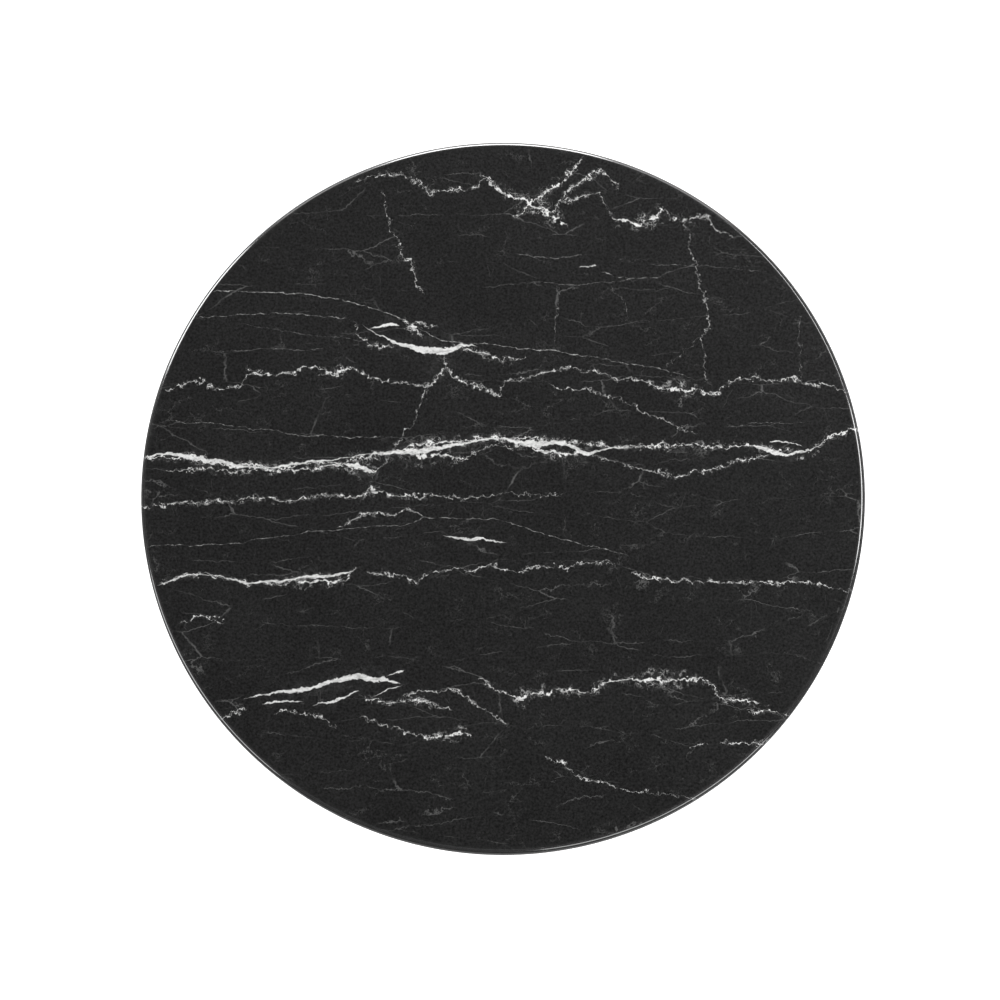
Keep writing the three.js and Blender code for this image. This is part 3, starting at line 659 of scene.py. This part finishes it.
    # satin on the flat face, glossy on the rounded edge
    normal = add_node(tree, "ShaderNodeNewGeometry").outputs["Normal"]
    slope = add_node(tree, "ShaderNodeSeparateXYZ", {0: normal}).outputs[2]
    leaning = add_node(
        tree, "ShaderNodeVectorMath", {0: normal, 1: GLOSS_AXIS}, operation="DOT_PRODUCT"
    ).outputs["Value"]
    edge = calc(
        tree, "MULTIPLY", between(tree, leaning, 0.93, 0.885), between(tree, slope, 0.56, 0.64)
    )
    satin = between(tree, slow, 0, 1, 0.4, 0.46)
    shader.inputs["Specular IOR Level"].default_value = SATIN_SPECULAR
    gloss = between(tree, edge, 0, 1, satin, GLOSSY_ROUGHNESS)
    tree.links.new(gloss, shader.inputs["Roughness"])
    tree.links.new(edge, shader.inputs["Coat Weight"])
    shader.inputs["Coat Roughness"].default_value = 0.15
    shader.inputs["Coat IOR"].default_value = 3
    relief = add_node(
        tree,
        "ShaderNodeBump",
        {"Height": noise(tree, flat, 0.9, 3.0).outputs["Fac"], "Distance": 0.00002, "Strength": 0.6},
    )
    tree.links.new(relief.outputs[0], shader.inputs["Normal"])
    return material


MARBLE = make_marble()
COAT = plain_finish("satin_powder_coat", (0.007, 0.007, 0.0075), 0.34, grain=900, height=0.00004)
LAMINATE = plain_finish("black_laminate", (0.012, 0.012, 0.012), 0.5, grain=1200, height=0.00004)
ZINC = plain_finish("zinc_plate", (0.56, 0.57, 0.58), 0.3, grain=2500, height=0.00001, metallic=1)
BRASS = plain_finish("turned_brass", (0.6, 0.42, 0.16), 0.3, grain=2500, height=0.00001, metallic=1)
IRON = plain_finish("primed_casting", (0.045, 0.045, 0.048), 0.62, grain=500, height=0.0003)
BOARD = plain_finish("fibreboard", (0.32, 0.22, 0.13), 0.85, grain=1500, height=0.0001)
RUBBER = plain_finish("black_rubber", (0.012, 0.012, 0.012), 0.75, grain=1500, height=0.00004)
NYLON = plain_finish("moulded_nylon", (0.015, 0.015, 0.016), 0.5, grain=1200, height=0.00003)

# ---------------------------------------------------------------- top


def top_edge(radius, bottom, top, inset, steps):
    """The outside of the top from its underside to its upper face, moved in by an inset."""
    r = radius - inset
    low = ARRIS_ROUND - inset
    high = EDGE_ROUND - inset
    return [
        *arc(r - low, bottom + inset + low, low, -90, 0, steps),
        *arc(r - high, top - inset - high, high, 0, 90, 2 * steps),
    ]


def make_marble_skin():
    radius, bottom, top = reach("marble_skin")
    turn_in = radius - SKIN_RETURN
    profile = [
        (0, top - SHEET),
        *reversed(top_edge(radius, bottom, top, SHEET, 3)),
        (turn_in, bottom + SHEET),
        (turn_in, bottom),
        *top_edge(radius, bottom, top, 0, 6),
        (0, top),
    ]
    finish_piece("marble_top", turned(profile, TOP_STEPS), MARBLE, "marble_skin")


def make_backer():
    radius, bottom, top = reach("backer_sheet")
    sheet = ring(NUT_POCKET, radius, bottom, top, TOP_STEPS)
    finish_piece("backer_disc", soften(sheet, 0.2, 1), LAMINATE, "backer_sheet")


# ---------------------------------------------------------------- screws


def make_plate_bolt(number):
    """A button head with a hexagonal socket, and its shank."""
    node = f"plate_bolt_{number}"
    x, y, bottom, top = place(node)
    rim = bottom + BUTTON_HEAD_HEIGHT
    shape = turned(
        [
            (0, bottom + 2.1),
            (BUTTON_SOCKET, bottom + 2.1),
            (BUTTON_SOCKET, bottom),
            *arc(0, bottom + 6.2, 6.2, -62, -29, 5),
            (5.5, rim - 0.3),
            (5.5, rim),
            (3, rim),
            (3, top),
            (0, top),
        ],
        SMALL_STEPS,
    )
    make_hexagonal(shape, BUTTON_SOCKET, 4)
    finish_piece(f"button_screw_{number}", moved(shape, x, y), ZINC, node)


def make_countersunk(name, node):
    """A countersunk head, flush in the underside of the base plate, with a hexagonal socket."""
    x, y, bottom, top = place(node)
    shape = turned(
        [
            (0, bottom + 2.5),
            (COUNTERSUNK_SOCKET, bottom + 2.5),
            (COUNTERSUNK_SOCKET, bottom),
            (SUNK_HEAD - FIT, bottom),
            (SUNK_HEAD, bottom + FIT),
            (SCREW_SHANK, bottom + SUNK_DEPTH + FIT),
            (SCREW_SHANK, top),
            (0, top),
        ],
        SMALL_STEPS,
    )
    make_hexagonal(shape, COUNTERSUNK_SOCKET, 5)
    finish_piece(name, moved(shape, x, y), ZINC, node)


# ---------------------------------------------------------------- column and covers


def make_mounting_plate():
    radius, bottom, top = reach("mounting_plate")
    underside = top - PLATE_THICKNESS
    bore = reach("column_tube")[0] - TUBE_WALL
    shape = turned(
        [
            (ROD_HOLE, underside),
            (bore - 6, underside),
            (bore - 6, bottom),
            (bore - FIT, bottom),
            (bore - FIT, underside),
            (radius, underside),
            (radius, top),
            (ROD_HOLE, top),
        ]
    )
    finish_piece("top_plate", soften(shape, 0.6, 3), COAT, "mounting_plate")


def make_column():
    radius, bottom, top = reach("column_tube")
    shape = ring(radius - TUBE_WALL, radius, bottom, top)
    finish_piece("column", soften(shape, 0.4), COAT, "column_tube")


def make_base_cover():
    radius, bottom, top = reach("base_cover")
    outside = [
        (radius, bottom),
        *arc(radius - SKIRT_CORNER, SHOULDER_HEIGHT - SKIRT_CORNER, SKIRT_CORNER, 0, 82, 8),
        *sweep(radius - SKIRT_CORNER, SHOULDER_HEIGHT, top, 48)[1:],
    ]
    shape = turned(outside + offset(outside, SHEET)[::-1])
    finish_piece("base_trumpet", soften(shape, 0.5, 2, 50), COAT, "base_cover")


def make_upper_cover():
    radius, bottom, top = reach("upper_cover")
    outside = [(r, -z) for r, z in sweep(radius, -(top - SHEET), -bottom, 32)]
    shape = turned(outside + offset(outside, -SHEET)[::-1])
    finish_piece("upper_trumpet", soften(shape, 0.5, 2, 50), COAT, "upper_cover")


def make_collar(side):
    """A collar that opens over a cover's neck. The upper one is the lower one turned over."""
    radius, bottom, top = reach(f"{side}_collar")
    height = top - bottom
    bore = NECK_RADIUS + FIT
    shelf = COLLAR_OVERLAP + FIT
    column = reach("column_tube")[0] + FIT
    shape = turned(
        [
            (bore, 0),
            (radius - 0.5, 0),
            (radius, 0.5),
            *arc(radius - COLLAR_ROUND, height - COLLAR_ROUND, COLLAR_ROUND, 0, 90, 10),
            (column + 0.4, height),
            (column, height - 0.4),
            (column, shelf),
            (bore, shelf),
        ]
    )
    hole_height = (COLLAR_OVERLAP + height) / 2
    along_y = Matrix.Rotation(-math.pi / 2, 4, "X")
    hole = disc(GRUB_HOLE, column - 2, radius + 2, TINY_STEPS)
    bmesh.ops.transform(hole, matrix=along_y, verts=hole.verts)
    grub = GRUB_HOLE - FIT
    screw = turned(
        [
            (0, radius - 3.5),
            (GRUB_SOCKET, radius - 3.5),
            (GRUB_SOCKET, radius - 1),
            (grub - 0.3, radius - 1),
            (grub, radius - 1.3),
            (grub, column),
            (0, column),
        ],
        TINY_STEPS,
    )
    make_hexagonal(screw, GRUB_SOCKET, 2.5)
    bmesh.ops.transform(screw, matrix=along_y, verts=screw.verts)
    moved(hole, z=hole_height)
    moved(screw, z=hole_height)
    shape = drilled(shape, [hole])
    for part in (shape, screw):
        if side == "upper":
            over = Matrix.Translation((0, 0, height)) @ Matrix.Rotation(math.pi, 4, "Y")
            bmesh.ops.transform(part, matrix=over, verts=part.verts)
        moved(part, z=bottom)
    finish_piece(f"{side}_ring", shape, COAT, f"{side}_collar")
    finish_piece(f"{side}_grub_screw", screw, ZINC, f"{side}_collar_screw")


# ---------------------------------------------------------------- base


def make_base_plate():
    radius, bottom, top = reach("base_plate")
    shape = soften(disc(radius, bottom, top), 0.4)
    cutters = []
    for node in [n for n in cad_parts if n.startswith(("hub_screw_", "ballast_bolt_"))]:
        x, y, _, _ = place(node)
        sunk = turned(
            [
                (0, bottom - 1),
                (SUNK_HEAD + FIT, bottom - 1),
                (SUNK_HEAD + FIT, bottom),
                (SCREW_SHANK + FIT, bottom + SUNK_DEPTH),
                (SCREW_SHANK + FIT, top + 1),
                (0, top + 1),
            ],
            SMALL_STEPS,
        )
        cutters.append(moved(sunk, x, y))
    for node in [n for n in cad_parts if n.startswith("foot_stud_")]:
        x, y, _, _ = place(node)
        cutters.append(moved(disc(STUD_RADIUS + FIT, bottom - 1, top + 1, SMALL_STEPS), x, y))
    finish_piece("floor_plate", drilled(shape, cutters), COAT, "base_plate")


def make_rim_seal():
    """A channel over the base plate's edge."""
    radius, bottom, top = reach("rim_seal")
    plate, plate_bottom, plate_top = reach("base_plate")
    inner = plate - CHANNEL_DEPTH
    shape = turned(
        [
            (inner, bottom),
            (radius, bottom),
            (radius, SHOULDER_HEIGHT - SHEET - SKIRT_CORNER),
            (radius - 5, top),
            (inner, top),
            (inner, plate_top + FIT),
            (plate + FIT, plate_top + FIT),
            (plate + FIT, plate_bottom - FIT),
            (inner, plate_bottom - FIT),
        ]
    )
    finish_piece("edge_channel", soften(shape, 0.5), RUBBER, "rim_seal")


def make_foot(number):
    """A stud with a hexagon and ribs for its thread, and the pad that it turns in."""
    stud_node = f"foot_stud_{number}"
    x, y, bottom, top = place(stud_node)
    plate_bottom = reach("base_plate")[1]
    thread_start = plate_bottom + 0.6
    thread = []
    for i in range(int((top - 1.5 - thread_start) / THREAD_PITCH)):
        z = thread_start + i * THREAD_PITCH
        thread += [
            (THREAD_ROOT, z),
            (STUD_RADIUS, z + THREAD_PITCH * 0.4),
            (STUD_RADIUS, z + THREAD_PITCH * 0.6),
        ]
    shape = turned(
        [
            (0, bottom),
            (STUD_DISC_RADIUS, bottom),
            (STUD_DISC_RADIUS, bottom + 3),
            (STUD_RADIUS, bottom + 3),
            (STUD_RADIUS, plate_bottom - 4.5),
            (STUD_HEXAGON - 0.7, plate_bottom - 4.5),
            (STUD_HEXAGON, plate_bottom - 4.1),
            (STUD_HEXAGON, plate_bottom - 0.4),
            (STUD_HEXAGON - 0.7, plate_bottom),
            *thread,
            (STUD_RADIUS, top - 1),
            (3, top),
            (0, top),
        ],
        SMALL_STEPS,
    )
    make_hexagonal(shape, STUD_HEXAGON, 13)
    name = f"levelling_stud_{number}"
    finish_piece(name, moved(shape, x, y), ZINC, stud_node, f"stud_{number}")
    pad_node = f"foot_pad_{number}"
    low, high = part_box(pad_node)
    radius = (high.x - low.x) / 2 / METRES
    top = high.z / METRES
    pad = turned(
        [
            (0, 0),
            (radius - 2, 0),
            *arc(radius - 1.2, 1.2, 1.2, -60, 0, 4),
            (radius, 3.2),
            *arc(radius - 1.5, 3.2, 1.5, 20, 70, 3),
            (PAD_LIP + 3.6, top - 0.4),
            (PAD_LIP + 2.8, top),
            (PAD_LIP, top),
            (PAD_LIP, 5.9),
            (6.3, 5.9),
            (6.3, 2.3),
            (0, 2.3),
        ],
        64,
    )
    name = f"swivel_pad_{number}"
    finish_piece(name, moved(pad, x, y), NYLON, pad_node, f"pad_{number}")


make_marble_skin()
make_backer()
make_mounting_plate()
make_column()
make_base_cover()
make_upper_cover()
for side in ("upper", "lower"):
    make_collar(side)
make_base_plate()
make_rim_seal()
for number in range(1, 7):
    make_plate_bolt(number)
for number in range(1, 4):
    make_countersunk(f"hub_countersunk_{number}", f"hub_screw_{number}")
    make_countersunk(f"ballast_countersunk_{number}", f"ballast_bolt_{number}")
for number in range(1, 5):
    make_foot(number)

# The pieces inside the top, the column and the base keep their plain solids.
INNER_FINISHES = {
    "tabletop_core": BOARD,
    "threaded_insert": BRASS,
    "tie_rod": ZINC,
    "base_hub": IRON,
    "ballast_ring": IRON,
    "weld_nut": ZINC,
}
for name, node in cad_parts.items():
    for start, material in INNER_FINISHES.items():
        if name.startswith(start):
            node.data.materials.clear()
            node.data.materials.append(material)

# ---------------------------------------------------------------- floor, light and camera


FLOOR_REACH = 14  # metres from the middle to each side
WORLD_LIGHT = 0.1  # what the world adds to the light, while the camera sees it as white


def make_floor():
    """A plain pale floor that glows for the camera only, with a painted shadow: it glows less under and
    round the table's base.
    """
    bm = bmesh.new()
    bmesh.ops.create_grid(bm, x_segments=1, y_segments=1, size=FLOOR_REACH)
    floor = as_object("floor", bm)
    material = bpy.data.materials.new("pale_floor")
    material.use_nodes = True
    tree = material.node_tree
    shader = tree.nodes["Principled BSDF"]
    shader.inputs["Base Color"].default_value = grey(0.8)
    shader.inputs["Roughness"].default_value = 0.9
    shader.inputs["Specular IOR Level"].default_value = 0.1
    shader.inputs["Emission Color"].default_value = grey(1)
    seen = add_node(tree, "ShaderNodeLightPath").outputs["Is Camera Ray"]
    away = add_node(tree, "ShaderNodeVectorMath", {0: object_place(tree)}, operation="LENGTH")
    # painted contact shadow: the glow drops from 0.7 to 0.5 within 0.4 m of the axis, round the base; far
    # out it rises so the far floor stays evenly white
    near = between(tree, away.outputs["Value"], 0.25, 0.4, 0.5, 0.7, smooth=True)
    glow_and_painted_shadow = calc(tree, "ADD", near, between(tree, away.outputs["Value"], 0.6, 3, 0, 0.32))
    tree.links.new(calc(tree, "MULTIPLY", seen, glow_and_painted_shadow), shader.inputs["Emission Strength"])
    floor.data.materials.append(material)


def make_world():
    """White behind the table, and dim grey where it only lights."""
    world = bpy.data.worlds.new("studio")
    bpy.context.scene.world = world
    world.use_nodes = True
    tree = world.node_tree
    seen = add_node(tree, "ShaderNodeLightPath").outputs["Is Camera Ray"]
    strength = between(tree, seen, 0, 1, WORLD_LIGHT, 1.0)
    background = tree.nodes["Background"]
    background.inputs["Color"].default_value = grey(1)
    tree.links.new(strength, background.inputs["Strength"])


TOP_CENTRE = Vector((0, 0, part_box("marble_skin")[1].z))
SOFTBOXES = 8
SOFTBOX_SIZE = (1.6, 1.6)
SOFTBOX_DISTANCE = 2.2
LIGHT_HEIGHT = 2.6  # of the softboxes above the top
PANEL_DISTANCE = 2.6
PANEL_HEIGHT = 0.9
EDGE_PANELS = [  # (direction in degrees from +X towards +Y, height above the top, width, radiance)
    (12, 1.45, 1.2, 5),
    (42, 2.0, 1.2, 7),
    (66, 0.4, 0.9, 1),
    (91, 0.35, 1.4, 6),
    (115, 0.4, 0.8, 1),
    (140, 0.3, 1.0, 5),
    (205, -0.1, 2.0, 1.5),
    (300, -0.1, 2.2, 1.5),
]


def add_panel(name, angle, distance, height, size, radiance, aim):
    """A soft rectangular light, unseen by the camera, that faces a point."""
    light = bpy.data.lights.new(name, "AREA")
    light.shape = "RECTANGLE"
    light.size, light.size_y = size
    light.energy = radiance * math.pi * light.size * light.size_y
    lamp = bpy.data.objects.new(name, light)
    lamp.location = (distance * math.cos(angle), distance * math.sin(angle), height)
    lamp.rotation_euler = (aim - lamp.location).to_track_quat("-Z", "Y").to_euler()
    lamp.visible_camera = False
    bpy.context.scene.collection.objects.link(lamp)


def make_overhead_lights():
    """A ring of softboxes high about the table. None is where the face would mirror it."""
    for i in range(SOFTBOXES):
        angle = math.tau * i / SOFTBOXES
        height = TOP_CENTRE.z + LIGHT_HEIGHT
        radiance = 1.65 + 0.5 * math.cos(angle + math.pi / 6)
        name = f"softbox_{i + 1}"
        add_panel(name, angle, SOFTBOX_DISTANCE, height, SOFTBOX_SIZE, radiance, TOP_CENTRE)


def make_edge_lights():
    """Panels round the top that show as a bright line in its rounded edge."""
    for number, (degrees, above, width, radiance) in enumerate(EDGE_PANELS, 1):
        angle = math.radians(degrees)
        height = TOP_CENTRE.z + above
        size = (width, PANEL_HEIGHT)
        name = f"edge_panel_{number}"
        add_panel(name, angle, PANEL_DISTANCE, height, size, radiance, TOP_CENTRE)


CAMERA_ELEVATION = math.radians(79.1)
CAMERA_DISTANCE = 7.005
CAMERA_AIM = TOP_CENTRE + Vector((-0.0039, -0.0093, 0))


def make_camera():
    """A long lens from far away, high on the -Y side."""
    data = bpy.data.cameras.new("camera")
    data.lens = 200
    camera = bpy.data.objects.new("camera", data)
    back = Vector((0, -math.cos(CAMERA_ELEVATION), math.sin(CAMERA_ELEVATION)))
    camera.location = CAMERA_AIM + back * CAMERA_DISTANCE
    camera.rotation_euler = (-back).to_track_quat("-Z", "Y").to_euler()
    bpy.context.scene.collection.objects.link(camera)
    bpy.context.scene.camera = camera


make_floor()
make_world()
make_overhead_lights()
make_edge_lights()
make_camera()
bpy.context.scene.view_settings.view_transform = "Standard"
